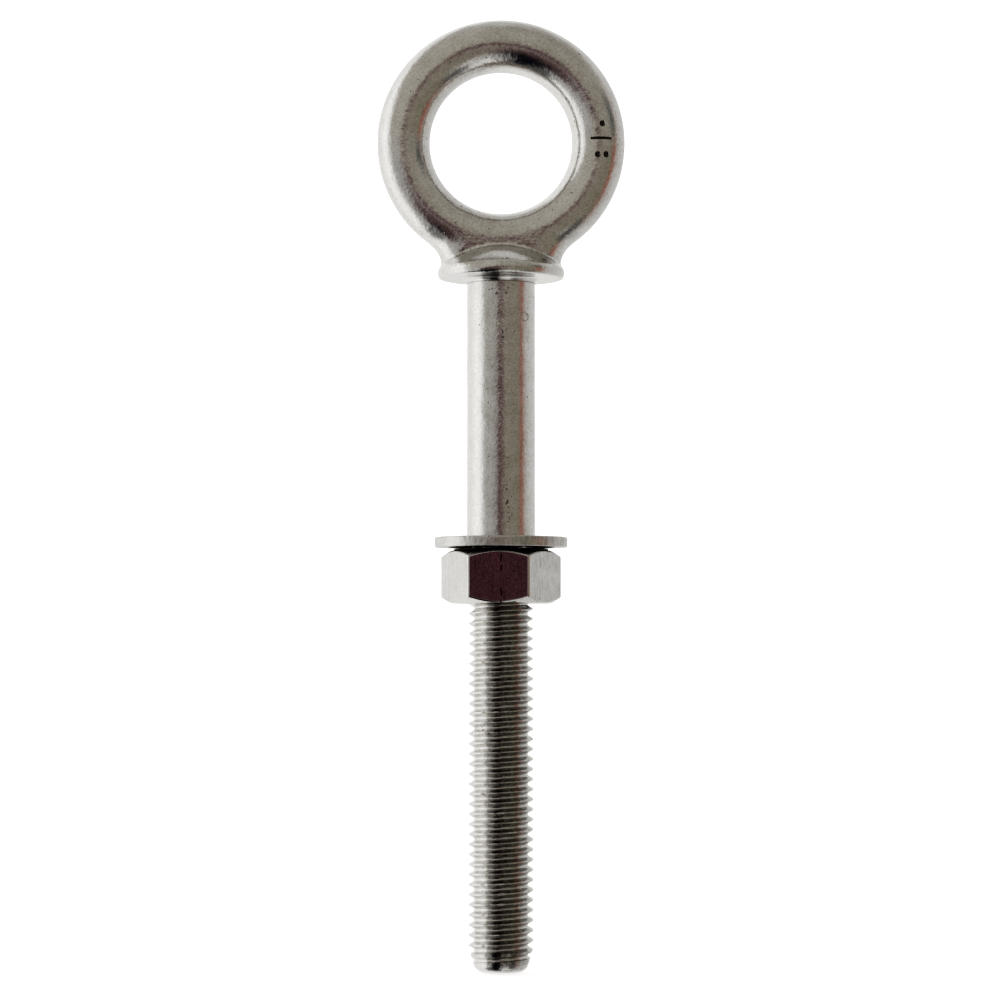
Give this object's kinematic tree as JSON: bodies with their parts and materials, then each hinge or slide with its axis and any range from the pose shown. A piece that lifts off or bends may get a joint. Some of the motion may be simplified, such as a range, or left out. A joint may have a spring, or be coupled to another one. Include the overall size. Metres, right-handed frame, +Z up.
{
  "type": "eye bolt",
  "caption": "Shouldered lifting eye bolt: forged ring and collar on a plain shank with a coarse thread, fitted with a flat washer and a hex nut.",
  "frame": {"origin": "centre of the collar's underside, on the bolt's axis", "axes": "+Z up along the bolt's axis through the eye, the eye's ring lies in the XZ plane, -Y is the front"},
  "size_m": [0.0488, 0.0262, 0.1866],
  "materials": {
    "forged_steel": "stainless forging, lightly tumbled to a soft polish, with small pits and scratches",
    "washer_steel": "stamped stainless washer with a sheared rim",
    "nut_steel": "machined stainless nut with bright flats"
  },
  "bodies": {
    "bolt": {"forged_eye_bolt": "forged_steel"},
    "washer": {"flat_washer": "washer_steel"},
    "nut": {"hex_nut": "nut_steel"}
  },
  "joints": [
    {"name": "washer_slide", "type": "slide", "parent": "bolt", "child": "washer", "axis": [0, 0, 1], "range_m": [-0.0704, 0]},
    {"name": "nut_turn", "type": "hinge", "parent": "washer", "child": "nut", "pos_m": [0, 0, -0.0586], "axis": [0, 0, 1], "range_deg": [-12960, 0]}
  ],
  "couplings": [
    {"joint": "washer_slide", "follows": "nut_turn", "m_per_rad": 0.00031096}
  ]
}
